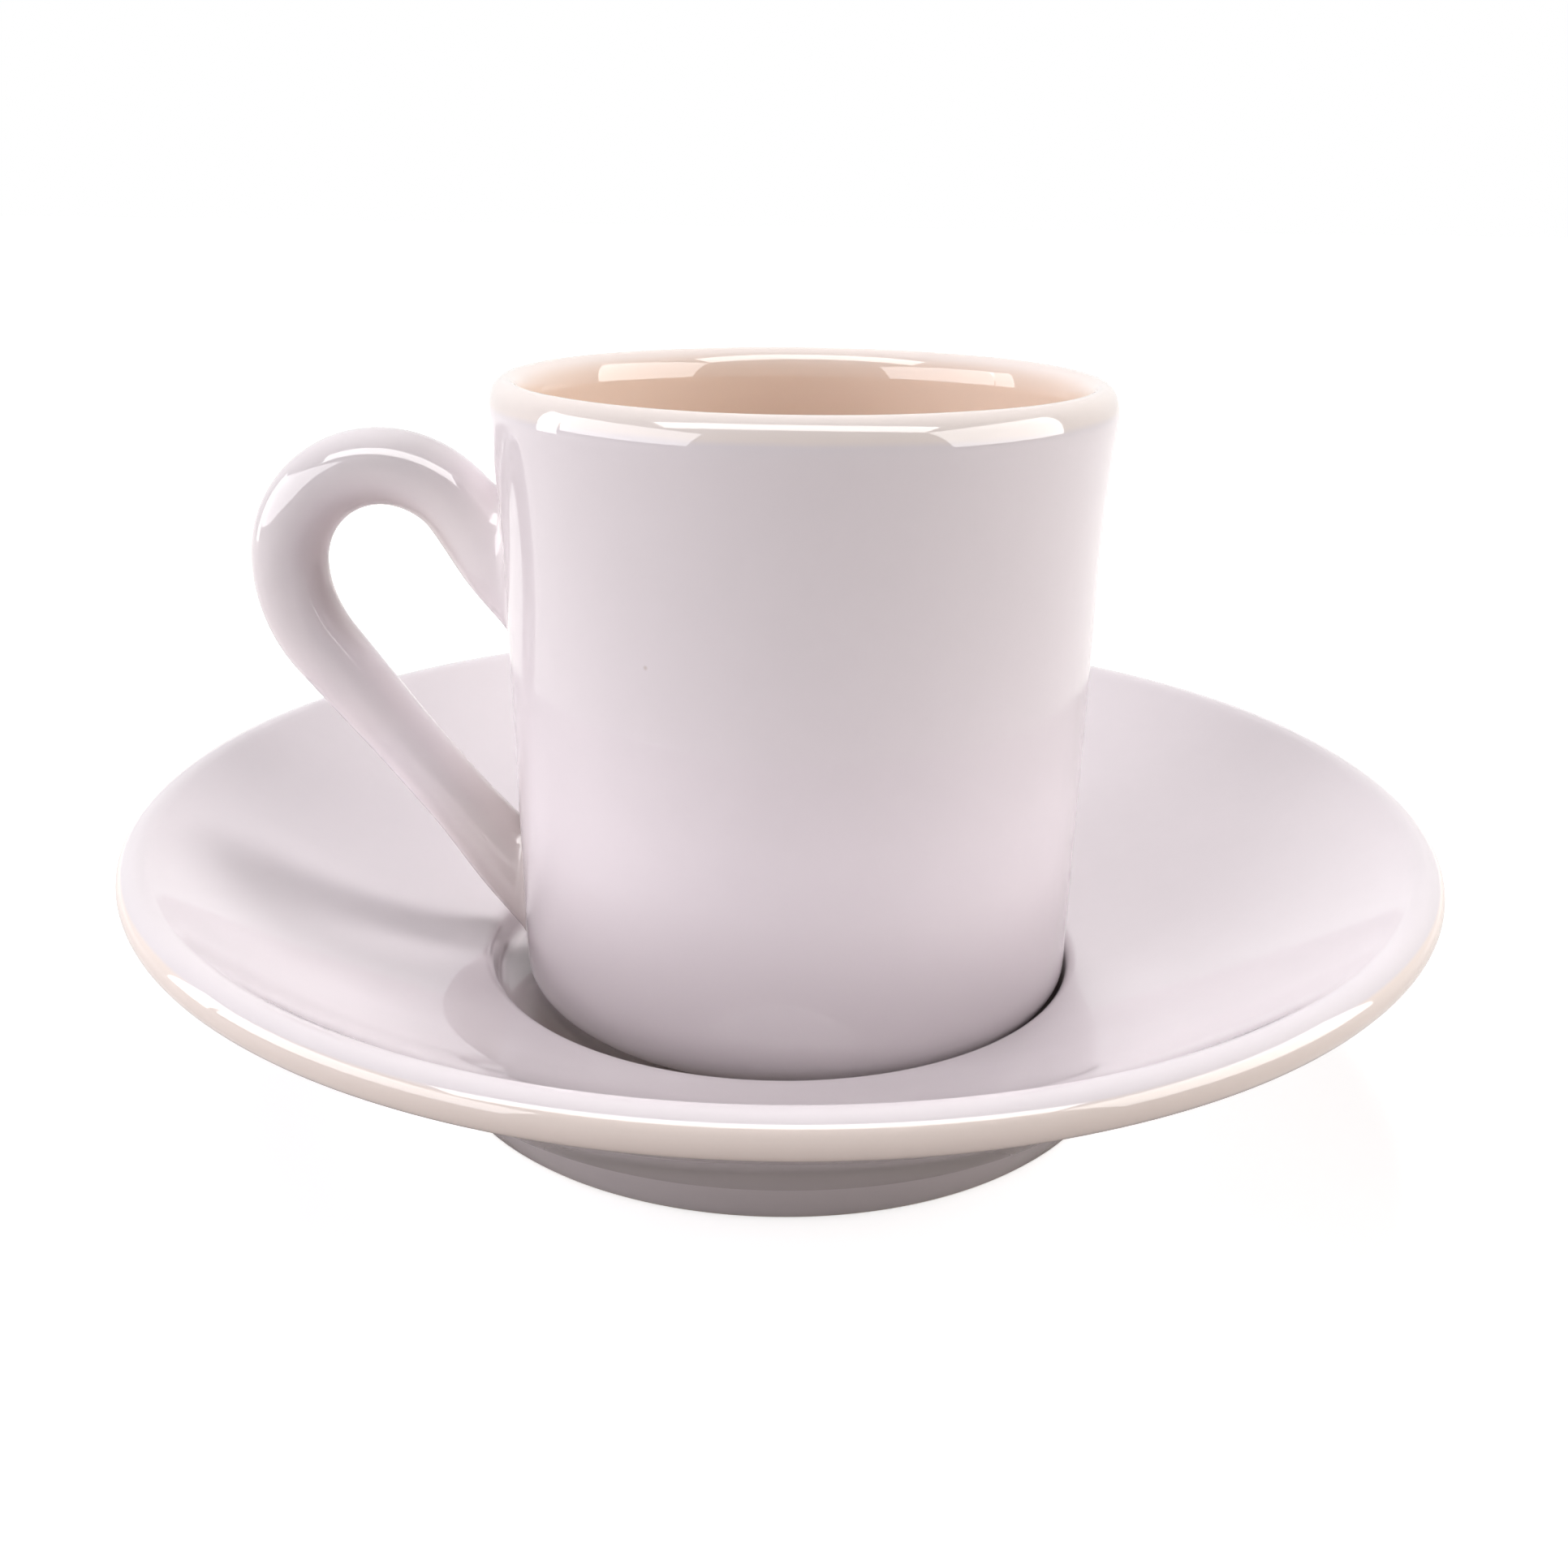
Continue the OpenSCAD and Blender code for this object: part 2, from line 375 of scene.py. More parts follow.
def handlePath(s):
    # (place, direction) along the middle of the rod
    upper = Vector((loopReach(s) - s["upperBend"], s["top"] - s["rodRadius"] - s["upperBend"]))
    lower = Vector((loopReach(s) - s["lowerBend"], upper.y))
    foot = Vector((cupSet["waistRadius"], s["lowerRootHeight"]))
    legSlope = bearing(foot, lower) - degrees(asin(s["lowerBend"] / (lower - foot).length))
    legEnd = lower + s["lowerBend"] * toward(legSlope - 90)
    loopEnd = upper + s["upperBend"] * toward(90 + s["upperSlope"])
    inwards = toward(180 + s["upperSlope"])
    upperEnd = loopEnd + inwards * (loopEnd.x - cupSet["waistRadius"]) / cos(radians(s["upperSlope"]))
    path = [(foot, legSlope)]
    legSteps = int((legEnd - foot).length / s["ringSpacing"])
    path += [(p, legSlope) for p in linePoints(foot, legEnd, legSteps)]
    for centre, radius, start, end in (
            (lower, s["lowerBend"], legSlope - 90, 0),
            (upper, s["upperBend"], 0, 90 + s["upperSlope"])):
        steps = int(radians(end - start) * radius / s["ringSpacing"])
        arc = arcPoints(centre, radius, start, end, steps)
        path += [(p, start + (end - start) * i / steps + 90) for i, p in enumerate(arc[:-1])]
    endSteps = max(2, int((upperEnd - loopEnd).length / s["ringSpacing"]))
    path += [(loopEnd, 180 + s["upperSlope"])]
    path += [(p, 180 + s["upperSlope"]) for p in linePoints(loopEnd, upperEnd, endSteps)]
    return path + [(upperEnd, 180 + s["upperSlope"])]


def smoothStep(low, high, value):
    share = max(0, min(1, (value - low) / (high - low)))
    return share * share * (3 - 2 * share)


def rodRadius(s, along, length):
    # thick at both roots, slimmest on the leg, full again over the loop
    fullness = smoothStep(s["slimEnd"], s["fullStart"], along / length)
    lowerRoot = 1 - smoothStep(0, s["lowerSwell"], along)
    upperRoot = smoothStep(length - s["upperSwell"], length, along)
    radius = s["legRadius"] + (s["rodRadius"] - s["legRadius"]) * fullness
    radius += (s["lowerRootRadius"] - s["legRadius"]) * lowerRoot
    radius += (s["upperRootRadius"] - s["rodRadius"]) * upperRoot
    return radius


def placeOnRow(point):
    return Vector((cupX - point.x, 0, point.y))


def drawRod(s, name):
    path = handlePath(s)
    lengths = [0]
    for (here, _), (there, _) in zip(path, path[1:]):
        lengths.append(lengths[-1] + (there - here).length)
    keep = [i for i, along in enumerate(lengths)
            if s["lowerSeatReach"] < along < lengths[-1] - s["upperSeatReach"]]
    radii = [rodRadius(s, along, lengths[-1]) for along in lengths]
    start, slope = path[keep[0]]
    # the ring stands square to the path: its axis points out and up along the leg
    bpy.ops.object.select_all(action="DESELECT")
    bpy.ops.mesh.primitive_circle_add(
        vertices=s["ringPoints"], radius=radii[keep[0]], location=placeOnRow(start),
        rotation=(0, radians(slope - 90), 0))
    rod = bpy.context.active_object
    rod.name = name
    rod.data.name = name
    bpy.ops.object.transform_apply(location=True, rotation=True, scale=True)
    bpy.ops.object.mode_set(mode="EDIT")
    bpy.ops.mesh.select_all(action="SELECT")
    for i, j in zip(keep, keep[1:]):
        here, there = placeOnRow(path[i][0]), placeOnRow(path[j][0])
        turn = radians(path[j][1] - path[i][1])
        bpy.ops.mesh.extrude_region_move(TRANSFORM_OT_translate={"value": there - here})
        bpy.ops.transform.rotate(value=-turn, orient_axis="Y", center_override=there)
        bpy.ops.transform.resize(value=(radii[j] / radii[i],) * 3, center_override=there)
    bpy.ops.object.mode_set(mode="OBJECT")
    return rod, path, lengths, keep


def seatRing(s, rod, ring, place, direction, radiusAt):
    # carries an end ring on to the wall: each of its points ends just inside the curved clay,
    # past a small fillet of luting
    middle = placeOnRow(place)
    inwards = Vector((-toward(direction).x, 0, toward(direction).y))
    side = Vector((0, 1, 0))
    square = inwards.cross(side)

    def onRod(angle, t):
        return middle + inwards * t + (side * cos(angle) + square * sin(angle)) * radiusAt(t)

    def aboveWall(point):
        return hypot(point.x - cupX, point.y) - wallRadius(point.z)

    def landing(angle):
        near, far = 0, s["seatSearch"]
        for _ in range(s["seatHalvings"]):
            t = (near + far) / 2
            near, far = (t, far) if aboveWall(onRod(angle, t)) > -s["seatDepth"] else (near, t)
        return near

    def seated(angle, t):
        point = onRod(angle, t)
        outwards = Vector((point.x - cupX, point.y, 0)).normalized()
        spread = side * cos(angle) + square * sin(angle)
        spread = (spread - outwards * spread.dot(outwards)).normalized()
        gap = max(0, s["luting"] - max(0, aboveWall(point)))
        return point + spread * (s["luting"] - sqrt(s["luting"] ** 2 - gap ** 2))

    def spot(point):
        return tuple(round(c / s["sameSpot"]) for c in point)

    mesh = rod.data
    angles = {}
    for i in ring:
        away = mesh.vertices[i].co - middle
        angles[spot(mesh.vertices[i].co)] = atan2(away.dot(square), away.dot(side))
    landings = {angle: landing(angle) for angle in angles.values()}
    bpy.ops.object.mode_set(mode="EDIT")
    bpy.ops.mesh.select_mode(type="VERT")
    bpy.ops.mesh.select_all(action="DESELECT")
    bpy.ops.object.mode_set(mode="OBJECT")
    for i in ring:
        mesh.vertices[i].select = True
    for step in range(1, s["seatRings"] + 1):
        bpy.ops.object.mode_set(mode="EDIT")
        bpy.ops.mesh.extrude_region_move(TRANSFORM_OT_translate={"value": (0, 0, 0)})
        bpy.ops.object.mode_set(mode="OBJECT")
        share = 1 - (1 - step / s["seatRings"]) ** s["seatEase"]
        moved = {}
        for vertex in [v for v in mesh.vertices if v.select]:
            angle = angles[spot(vertex.co)]
            vertex.co = seated(angle, landings[angle] * share)
            moved[spot(vertex.co)] = angle
        angles = moved
    bpy.ops.object.mode_set(mode="EDIT")
    bpy.ops.mesh.edge_face_add()
    bpy.ops.object.mode_set(mode="OBJECT")


def modelHandle(s, name):
    rod, path, lengths, keep = drawRod(s, name)
    first, last, length = keep[0], keep[-1], lengths[-1]
    count, points = len(rod.data.vertices), s["ringPoints"]

    def lowerRadius(t):
        return rodRadius(s, lengths[first] - t, length)

    def upperRadius(t):
        return rodRadius(s, lengths[last] + t, length)

    lowerRing, upperRing = list(range(points)), list(range(count - points, count))
    seatRing(s, rod, lowerRing, path[first][0], 180 + path[first][1], lowerRadius)
    seatRing(s, rod, upperRing, path[last][0], path[last][1], upperRadius)
    bpy.ops.object.mode_set(mode="EDIT")
    bpy.ops.mesh.select_all(action="SELECT")
    bpy.ops.mesh.normals_make_consistent(inside=False)
    bpy.ops.object.mode_set(mode="OBJECT")
    bpy.ops.object.shade_smooth_by_angle(angle=radians(meshSet["smoothAngle"]))
    return rod


cupHandle = modelHandle(handleSet, "cupHandle")
unevenSurface(cupHandle, handleSet["waveSize"], handleSet["waveDepth"])
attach(cupHandle, "cup")
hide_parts("cup_handle")
print("handle modelled")


# node helpers

def feed(tree, socket, value):
    if isinstance(value, bpy.types.NodeSocket):
        tree.links.new(value, socket)
    else:
        socket.default_value = value


def feedAll(tree, node, values):
    for label, value in values.items():
        feed(tree, node.inputs[label], value)


def calculate(tree, operation, first, second=0.0):
    node = tree.nodes.new("ShaderNodeMath")
    node.operation = operation
    feed(tree, node.inputs[0], first)
    feed(tree, node.inputs[1], second)
    return node.outputs["Value"]


def add(tree, first, *others):
    for other in others:
        first = calculate(tree, "ADD", first, other)
    return first


def multiply(tree, first, *others):
    for other in others:
        first = calculate(tree, "MULTIPLY", first, other)
    return first


def measure(tree, operation, *places):
    node = tree.nodes.new("ShaderNodeVectorMath")
    node.operation = operation
    for socket, place in zip(node.inputs, places):
        feed(tree, socket, place)
    return node.outputs["Value"]


def splitPlace(tree, place):
    node = tree.nodes.new("ShaderNodeSeparateXYZ")
    feed(tree, node.inputs["Vector"], place)
    return node.outputs


def objectPlace(tree):
    return tree.nodes.new("ShaderNodeTexCoord").outputs["Object"]


def ramp(tree, value, low, high, start=0.0, end=1.0):
    node = tree.nodes.new("ShaderNodeMapRange")
    node.interpolation_type = "SMOOTHSTEP"
    feedAll(tree, node, {"Value": value, "From Min": low, "From Max": high, "To Min": start, "To Max": end})
    return node.outputs["Result"]


def cloudy(tree, place, scale, detail=2.0, roughness=0.5):
    node = tree.nodes.new("ShaderNodeTexNoise")
    feedAll(tree, node, {"Vector": place, "Scale": scale, "Detail": detail, "Roughness": roughness})
    return node.outputs["Fac"]


def blendColours(tree, share, first, second):
    node = tree.nodes.new("ShaderNodeMix")
    node.data_type = "RGBA"
    feed(tree, node.inputs["Factor"], share)
    feed(tree, node.inputs[6], first)  # sockets 6, 7 and 2 are the ones for colours
    feed(tree, node.inputs[7], second)
    return node.outputs[2]


def newGroup(name, inputs, outputs):
    tree = bpy.data.node_groups.new(name, "ShaderNodeTree")
    for label, kind in inputs.items():
        tree.interface.new_socket(label, in_out="INPUT", socket_type="NodeSocket" + kind)
    for label, kind in outputs.items():
        tree.interface.new_socket(label, in_out="OUTPUT", socket_type="NodeSocket" + kind)
    return tree, tree.nodes.new("NodeGroupInput").outputs, tree.nodes.new("NodeGroupOutput").inputs


def useGroup(tree, group, **values):
    node = tree.nodes.new("ShaderNodeGroup")
    node.node_tree = group
    feedAll(tree, node, values)
    return node.outputs


# what several glazes share is a group, with values of its own in each material

skinSet = {
    "broadScale": 55.0,
    "fineScale": 420.0,
    "fineDetail": 3.0,
    "fineRoughness": 0.6,
    "wander": 0.5,  # how far the border of the thin glaze wanders
    "thinStart": 0.2,
    "thinEnd": 0.8,
    "thinOnset": 0.05,
    "grainShare": 0.4,
    "speckScale": 210.0,
    "speckCore": 0.035,
    "speckEdge": 0.075,
    "speckShare": 0.45,
    "speckColour": (0.42, 0.30, 0.22, 1),
    "speckPit": -0.05,
    "roughGrain": 0.03,
    "broadPeel": 0.7,
    "finePeel": 0.045,
}

claySet = {
    "gritScale": 1800.0,
    "gritDetail": 4.0,
    "gritRoughness": 0.7,
    "gritStart": 0.55,
    "gritEnd": 0.7,
    "gritShare": 0.3,
    "gritColour": (0.38, 0.31, 0.26, 1),
    "stainScale": 160.0,
    "stainDetail": 3.0,
    "stainStart": 0.35,
    "stainEnd": 0.7,
    "stainShare": 0.35,
    "stainColour": (0.50, 0.42, 0.35, 1),
}


def makeRoundPlace():
    # distance from a turned piece's axis, and height
    tree, given, result = newGroup(
        "roundPlace", {"Centre": "Float"}, {"Place": "Vector", "Reach": "Float", "Height": "Float"})
    place = objectPlace(tree)
    apart = splitPlace(tree, place)
    across = calculate(tree, "SUBTRACT", apart["X"], given["Centre"])
    square = add(tree, multiply(tree, across, across), multiply(tree, apart["Y"], apart["Y"]))
    feed(tree, result["Place"], place)
    feed(tree, result["Reach"], calculate(tree, "SQRT", square))
    feed(tree, result["Height"], apart["Z"])
    return tree


def makeGlazeSkin(k):
    # colour, gloss and peel of a pottery glaze, warmer where it runs thin, with a few iron specks
    tree, given, result = newGroup(
        "glazeSkin",
        {"Place": "Vector", "Full": "Color", "Thin": "Color", "Thinness": "Float",
         "Mottle": "Float", "Specks": "Float", "Gloss": "Float"},
        {"Colour": "Color", "Roughness": "Float", "Height": "Float"})
    broad = cloudy(tree, given["Place"], k["broadScale"])
    fine = cloudy(tree, given["Place"], k["fineScale"], k["fineDetail"], k["fineRoughness"])
    broadTone = calculate(tree, "SUBTRACT", broad, 0.5)
    fineTone = calculate(tree, "SUBTRACT", fine, 0.5)
    border = add(tree, given["Thinness"], multiply(tree, broadTone, k["wander"]))
    thin = multiply(tree, ramp(tree, border, k["thinStart"], k["thinEnd"]),
                    ramp(tree, given["Thinness"], 0.0, k["thinOnset"]))
    shade = multiply(tree, broadTone, given["Mottle"])
    grain = multiply(tree, fineTone, given["Mottle"], k["grainShare"])
    scaled = tree.nodes.new("ShaderNodeVectorMath")
    scaled.operation = "SCALE"
    feed(tree, scaled.inputs[0], blendColours(tree, thin, given["Full"], given["Thin"]))
    feed(tree, scaled.inputs["Scale"], add(tree, 1.0, shade, grain))
    cells = tree.nodes.new("ShaderNodeTexVoronoi")
    feedAll(tree, cells, {"Vector": given["Place"], "Scale": k["speckScale"]})
    chosen = tree.nodes.new("ShaderNodeSeparateColor")
    feed(tree, chosen.inputs["Color"], cells.outputs["Color"])
    dots = multiply(tree, ramp(tree, cells.outputs["Distance"], k["speckCore"], k["speckEdge"], 1.0, 0.0),
                    calculate(tree, "LESS_THAN", chosen.outputs["Red"], given["Specks"]))
    speckled = multiply(tree, dots, k["speckShare"])
    feed(tree, result["Colour"], blendColours(tree, speckled, scaled.outputs["Vector"], k["speckColour"]))
    feed(tree, result["Roughness"], add(tree, given["Gloss"], multiply(tree, fine, k["roughGrain"])))
    feed(tree, result["Height"], add(
        tree, multiply(tree, broad, k["broadPeel"]), multiply(tree, fine, k["finePeel"]),
        multiply(tree, dots, k["speckPit"])))
    return tree


def makeBareClay(k):
    tree, given, result = newGroup("bareClay", {"Place": "Vector", "Clay": "Color"}, {"Colour": "Color"})
    grit = cloudy(tree, given["Place"], k["gritScale"], k["gritDetail"], k["gritRoughness"])
    stain = cloudy(tree, given["Place"], k["stainScale"], k["stainDetail"])
    stained = ramp(tree, stain, k["stainStart"], k["stainEnd"], 0.0, k["stainShare"])
    gritty = ramp(tree, grit, k["gritStart"], k["gritEnd"], 0.0, k["gritShare"])
    colour = blendColours(tree, stained, given["Clay"], k["stainColour"])
    feed(tree, result["Colour"], blendColours(tree, gritty, colour, k["gritColour"]))
    return tree


roundPlace = makeRoundPlace()
glazeSkin = makeGlazeSkin(skinSet)
bareClay = makeBareClay(claySet)


# the three glazes

glazeSet = {
    "full": (0.870, 0.812, 0.845, 1),
    "thin": (0.96, 0.870, 0.830, 1),
    # thin glaze on the saucer's lip, also painted lighter as painted light
    "thinAndLitSaucer": (0.98, 0.86, 0.80, 1),
    "inside": (0.90, 0.73, 0.62, 1),
    # painted shade in the saucer's well
    "paintedWellShade": (0.36, 0.31, 0.29, 1),
    # painted shade low on the cup's wall
    "low": (0.57, 0.52, 0.54, 1),
    # painted shade on the handle
    "paintedHandleShade": (0.52, 0.45, 0.42, 1),
    "clay": (0.72, 0.64, 0.56, 1),
    "mottle": 0.05,
    "specks": 0.04,
    "gloss": 0.0,
    "bareRoughness": 0.7,
    "refraction": 1.56,
    "peelDepth": 0.03 * mm,
}


def newMaterial(name):
    material = bpy.data.materials.new(name)
    material.use_nodes = True
    tree = material.node_tree
    return material, tree, tree.nodes["Principled BSDF"]


def glazeCoat(tree, g, at, thin, thinness):
    return useGroup(tree, glazeSkin, Place=at["Place"], Full=g["full"], Thin=thin, Thinness=thinness,
                    Mottle=g["mottle"], Specks=g["specks"], Gloss=g["gloss"])


def bareFoot(tree, g, s, at, base, colour, roughness):
    # the ring that a piece stands on is wiped clean of glaze
    clay = useGroup(tree, bareClay, Place=at["Place"], Clay=g["clay"])
    bare = ramp(tree, at["Height"], base + s["bareStart"], base + s["bareEnd"], 1.0, 0.0)
    colour = blendColours(tree, bare, colour, clay["Colour"])
    return colour, add(tree, roughness, multiply(tree, bare, g["bareRoughness"]))


def finishSkin(tree, g, shader, colour, roughness, height):
    feed(tree, shader.inputs["Base Color"], colour)
    feed(tree, shader.inputs["Roughness"], roughness)
    bump = tree.nodes.new("ShaderNodeBump")
    bump.inputs["Strength"].default_value = 1.0
    bump.inputs["Distance"].default_value = g["peelDepth"]
    feed(tree, bump.inputs["Height"], height)
    feed(tree, shader.inputs["Normal"], bump.outputs["Normal"])
    shader.inputs["IOR"].default_value = g["refraction"]


def makeSaucerGlaze(g, s):
    material, tree, shader = newMaterial("saucerGlaze")
    at = useGroup(tree, roundPlace, Centre=0.0)
    # the glaze has run thin on the outer, lower side of the lip, and is painted lighter there as painted
    # light
    out = calculate(tree, "SUBTRACT", at["Reach"], s["radius"] - s["lipRadius"])
    down = calculate(tree, "SUBTRACT", s["height"] - s["lipRadius"], at["Height"])
    run = add(tree, multiply(tree, out, cos(radians(s["runOff"]))),
              multiply(tree, down, sin(radians(s["runOff"]))))
    lipSide = ramp(tree, run, s["runStart"] * s["lipRadius"], s["runEnd"] * s["lipRadius"])
    skin = glazeCoat(tree, g, at, g["thinAndLitSaucer"], lipSide)
    # painted shade in the corner of the well, round the cup's base, least on the handle's side
    wellShadeTop, wellShadeBottom = s["floorHeight"] + s["wellShadeRise"], s["floorHeight"] + s["wellShadeFloor"]
    low = ramp(tree, at["Height"], wellShadeBottom, wellShadeTop, 1.0, 0.0)
    outer = ramp(tree, at["Reach"], s["wellShadeStart"], s["wellShadeStart"] + s["wellShadeSpread"])
    within = calculate(tree, "LESS_THAN", at["Reach"], s["wellRadius"] + s["wellShadePast"])
    above = calculate(tree, "GREATER_THAN", at["Height"], s["underFloor"] + s["wellShadeAbove"])
    away = ramp(tree, splitPlace(tree, at["Place"])["X"], s["wellShadeFadeX"], s["wellShadeFullX"], s["wellShadeLeast"], 1.0)
    wellShadeMask = multiply(tree, low, outer, within, above, away)
    colour = blendColours(tree, wellShadeMask, skin["Colour"], g["paintedWellShade"])
    colour, roughness = bareFoot(tree, g, s, at, 0.0, colour, skin["Roughness"])
    finishSkin(tree, g, shader, colour, roughness, skin["Height"])
    return material


def makeCupGlaze(g, s):
    material, tree, shader = newMaterial("cupGlaze")
    at = useGroup(tree, roundPlace, Centre=cupX)
    lipSide = ramp(tree, at["Height"], s["rim"] - s["thinStart"], s["rim"] - s["thinEnd"])
    skin = glazeCoat(tree, g, at, g["thin"], lipSide)
    # painted shade: greyer towards the base, eased off again at the very bottom
    baseShade = ramp(tree, at["Height"], s["base"] + s["baseShadeEnd"], s["base"] + s["baseShadeStart"], 1.0, 0.0)
    foot = ramp(tree, at["Height"], s["base"], s["base"] + s["footFade"], s["footShare"], 1.0)
    body = blendColours(tree, multiply(tree, baseShade, foot), skin["Colour"], g["low"])
    inner = s["rimRadius"] - 2 * s["lipRadius"]
    inward = ramp(tree, at["Reach"], inner + s["insideStart"], inner + s["insideEnd"], 1.0, 0.0)
    above = calculate(tree, "GREATER_THAN", at["Height"], s["base"] + s["insideAbove"])
    colour = blendColours(tree, multiply(tree, inward, above), body, g["inside"])
    colour, roughness = bareFoot(tree, g, s, at, s["base"], colour, skin["Roughness"])
    finishSkin(tree, g, shader, colour, roughness, skin["Height"])
    return material


def makeHandleGlaze(g, s):
    material, tree, shader = newMaterial("handleGlaze")
    at = useGroup(tree, roundPlace, Centre=cupX)
    skin = glazeCoat(tree, g, at, g["thin"], s["thinness"])
    # painted shade: greyer and warmer inside the bend and on the leg by the cup
    bend = (cupX - loopReach(s) + s["upperBend"], 0, s["top"] - s["rodRadius"] - s["upperBend"])
    fromBend = measure(tree, "DISTANCE", at["Place"], bend)
    bendInside, bendOutside = s["upperBend"] - s["rodRadius"], s["upperBend"] - s["bendMargin"]
    inBend = ramp(tree, fromBend, bendInside, bendOutside, s["bendShade"], 0.0)
    byCup = multiply(tree, ramp(tree, at["Reach"], s["legShadeNear"], s["legShadeFar"], s["legShade"], 0.0),
                     ramp(tree, at["Height"], s["legShadeLow"], s["legShadeHigh"], 1.0, 0.0))
    paintedHandleShade = calculate(tree, "MAXIMUM", inBend, byCup)
    colour = blendColours(tree, paintedHandleShade, skin["Colour"], g["paintedHandleShade"])
    finishSkin(tree, g, shader, colour, skin["Roughness"], skin["Height"])
    return material


def coat(piece, material):
    piece.data.materials.clear()
    piece.data.materials.append(material)


coat(saucerShell, makeSaucerGlaze(glazeSet, saucerSet))
coat(cupShell, makeCupGlaze(glazeSet, cupSet))
coat(cupHandle, makeHandleGlaze(glazeSet, handleSet))
print("glazes made")


# floor, background and lamps

studioSet = {
    "floorSize": 6.0,
    "floorColour": (0.75, 0.75, 0.75, 1),
    "bounceColour": (0.39, 0.355, 0.343, 1),  # what the floor throws back on to the glaze
    "glowNear": 0.62,
    "glowUnder": 0.05,
    "underStart": 45 * mm,
    "underEnd": 70 * mm,
    "fadeStart": 70 * mm,
    "fadeEnd": 300 * mm,
    "ambientLow": (0.06, 0.059, 0.06, 1),
    "ambientHigh": (0.23, 0.226, 0.23, 1),
    "ambientStart": 0.1,
    "ambientEnd": 0.95,
    "white": (1, 1, 1, 1),
    "lampDistance": 1.2,
    "gleamDistance": 1.1,  # lamps that only show hang in front of the ones that only light
    "lampPower": 4,  # watts for each square metre and step of brightness
    "lamps": {
        # name: direction (degrees from the front, towards +X), height, width and depth in degrees,
        # brightness, colour, and whether it lights the glaze or shows in it
        "leftWindow": (-66, 17, 54, 32, 3.0, (1.0, 0.985, 1.0), "lights"),
        "rightWindow": (82, 20, 52, 32, 2.9, (1.0, 0.97, 0.94), "lights"),
        "overhead": (172, 67, 14, 14, 17.2, (1.0, 0.985, 0.98), "lights"),
        "leftAbove": (-105, 68, 20, 20, 2.8, (1.0, 0.985, 0.98), "lights"),
        "leftPane": (-62, 17, 54, 26, 3.8, (1.0, 0.99, 1.0), "shows"),
        "rightPane": (80, 20, 52, 32, 4.2, (1.0, 0.98, 0.96), "shows"),
        "leftDoor": (-96, 9, 12, 34, 3.6, (1.0, 1.0, 1.0), "shows"),
        "ceiling": (0, 54, 80, 19, 6.0, (1.0, 0.985, 0.98), "shows"),
    },
}


def showsBackground(tree, mirrored=1.0):
    # camera, mirror and glass rays see the plain white background
    path = tree.nodes.new("ShaderNodeLightPath").outputs
    seen = calculate(tree, "MAXIMUM", path["Is Glossy Ray"], path["Is Transmission Ray"])
    return calculate(tree, "MAXIMUM", path["Is Camera Ray"], multiply(tree, seen, mirrored))


def makeFloor(s):
    bpy.ops.object.select_all(action="DESELECT")
    bpy.ops.mesh.primitive_plane_add(size=s["floorSize"], location=(0, 0, 0))
    floor = bpy.context.active_object
    floor.name = "floor"
    material = bpy.data.materials.new("floorPaper")
    material.use_nodes = True
    tree = material.node_tree
    tree.nodes.clear()
    paper = tree.nodes.new("ShaderNodeBsdfDiffuse")
    straight = tree.nodes.new("ShaderNodeLightPath").outputs["Is Camera Ray"]
    feed(tree, paper.inputs["Color"], blendColours(tree, straight, s["bounceColour"], s["floorColour"]))
    # the glow is weaker near the saucer, and weakest in mirror rays from below it
    away = measure(tree, "LENGTH", objectPlace(tree))
    share = ramp(tree, away, s["fadeStart"], s["fadeEnd"], s["glowNear"], 1.0)
    under = ramp(tree, away, s["underStart"], s["underEnd"], s["glowUnder"], 1.0)
    glow = tree.nodes.new("ShaderNodeEmission")
    feed(tree, glow.inputs["Strength"], multiply(tree, share, showsBackground(tree, under)))
    both = tree.nodes.new("ShaderNodeAddShader")
    feed(tree, both.inputs[0], paper.outputs["BSDF"])
    feed(tree, both.inputs[1], glow.outputs["Emission"])
    output = tree.nodes.new("ShaderNodeOutputMaterial")
    feed(tree, output.inputs["Surface"], both.outputs["Shader"])
    coat(floor, material)


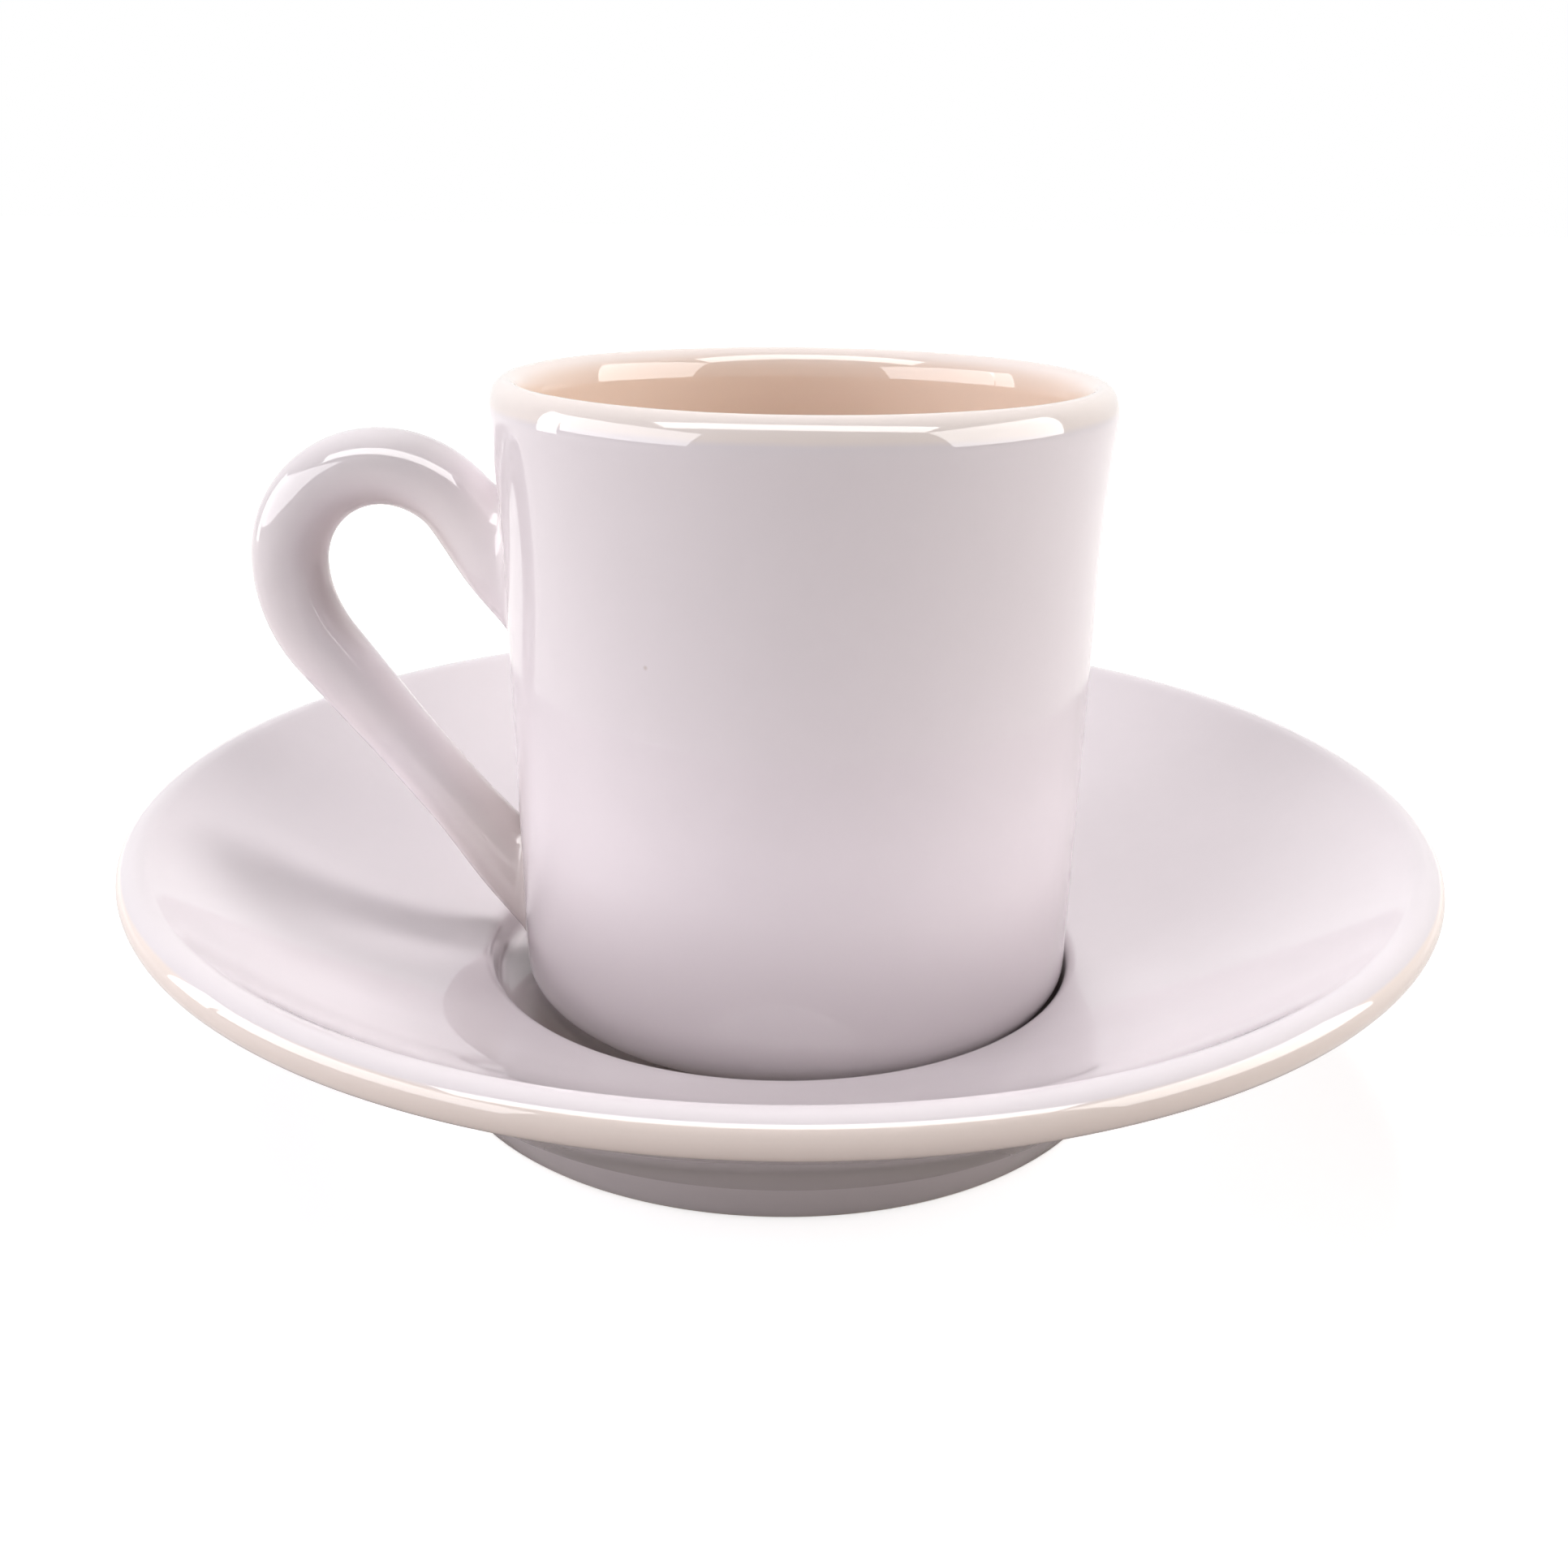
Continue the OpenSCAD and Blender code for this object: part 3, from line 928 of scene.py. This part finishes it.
def makeWorld(s):
    world = bpy.data.worlds.new("studio")
    bpy.context.scene.world = world
    world.use_nodes = True
    tree = world.node_tree
    background = tree.nodes["Background"]
    background.inputs["Strength"].default_value = 1.0
    upwards = splitPlace(tree, tree.nodes.new("ShaderNodeTexCoord").outputs["Generated"])["Z"]
    height = ramp(tree, upwards, s["ambientStart"], s["ambientEnd"])
    sky = blendColours(tree, height, s["ambientLow"], s["ambientHigh"])
    feed(tree, background.inputs["Color"], blendColours(tree, showsBackground(tree), sky, s["white"]))


def placeLamps(s):
    middle = Vector((0, 0, cupSet["rim"] / 2))
    for name, (turn, rise, width, height, brightness, colour, use) in s["lamps"].items():
        distance = s["gleamDistance"] if use == "shows" else s["lampDistance"]
        data = bpy.data.lights.new(name, "AREA")
        data.shape = "RECTANGLE"
        data.size = 2 * distance * tan(radians(width / 2))
        data.size_y = 2 * distance * tan(radians(height / 2))
        data.energy = s["lampPower"] * brightness * data.size * data.size_y
        data.color = colour
        lamp = bpy.data.objects.new(name, data)
        bpy.context.scene.collection.objects.link(lamp)
        lamp.visible_diffuse = use == "lights"
        lamp.visible_glossy = use == "shows"
        level = cos(radians(rise))
        away = Vector((sin(radians(turn)) * level, -cos(radians(turn)) * level, sin(radians(rise))))
        aim = away.to_track_quat("Z", "Y").to_matrix().to_4x4()
        lamp.matrix_world = Matrix.Translation(middle + away * distance) @ aim


# camera

viewSet = {
    "distance": 156.05 * mm,
    "height": 84.35 * mm,
    "swing": 4.0,
    "turn": 0.08,
    "tilt": 20.02,
    "roll": 0.71,
    "lens": 38.206,
    "nearest": 10 * mm,
}


def placeCamera(s):
    swing = Matrix.Rotation(radians(s["swing"]), 4, "Z")
    turn = Matrix.Rotation(radians(-s["turn"]), 4, "Z")
    tilt = Matrix.Rotation(radians(90 - s["tilt"]), 4, "X")
    roll = Matrix.Rotation(radians(s["roll"]), 4, "Z")
    data = bpy.data.cameras.new("camera")
    data.lens = s["lens"]
    data.clip_start = s["nearest"]
    camera = bpy.data.objects.new("camera", data)
    bpy.context.scene.collection.objects.link(camera)
    place = Matrix.Translation((0, -s["distance"], s["height"]))
    camera.matrix_world = swing @ place @ turn @ tilt @ roll
    bpy.context.scene.camera = camera


placeCamera(viewSet)
print("camera placed")

makeFloor(studioSet)
makeWorld(studioSet)
placeLamps(studioSet)
bpy.context.scene.view_settings.view_transform = "Standard"
print("studio lit")
